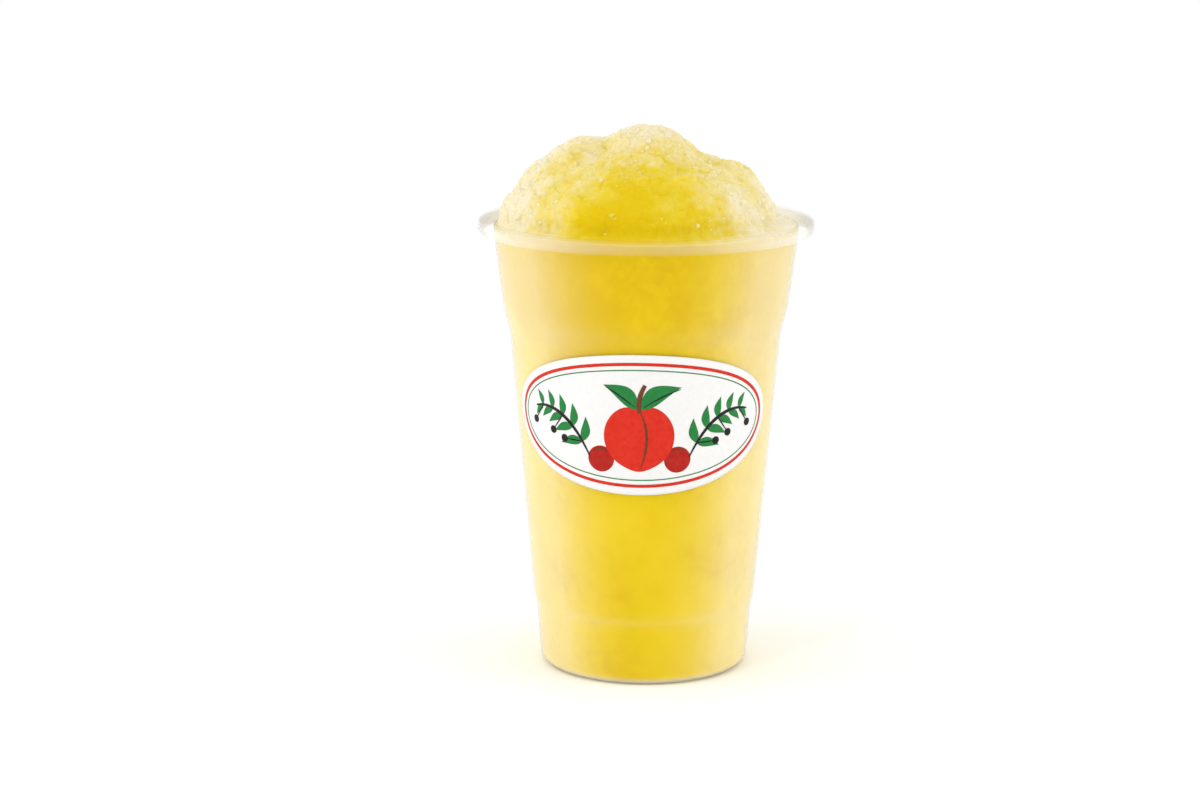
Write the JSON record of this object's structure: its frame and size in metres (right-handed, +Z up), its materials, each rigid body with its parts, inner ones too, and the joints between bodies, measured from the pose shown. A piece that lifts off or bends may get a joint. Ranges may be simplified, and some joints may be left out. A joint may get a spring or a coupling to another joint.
{
  "type": "fruit slushy in a plastic cup",
  "caption": "Tapered clear plastic cup with a rolled rim, filled with yellow fruit slush that heaps above the rim, with a plain oval label on its front.",
  "frame": {"origin": "centre of the cup's standing plane, on the cup's axis", "axes": "+Z up along the cup's axis, -Y towards the front, where the label is, +X to the right seen from the front"},
  "size_m": [0.095, 0.095, 0.1554],
  "materials": {
    "clear_plastic": "clear plastic with a slight milky tint and a gloss",
    "slush": "icy yellow slush, wet and granular, paler towards its edges",
    "label": "white coated paper with simple red and green motifs"
  },
  "bodies": {
    "root": {"cup": "clear_plastic", "slush": "slush", "label": "label"}
  },
  "joints": []
}
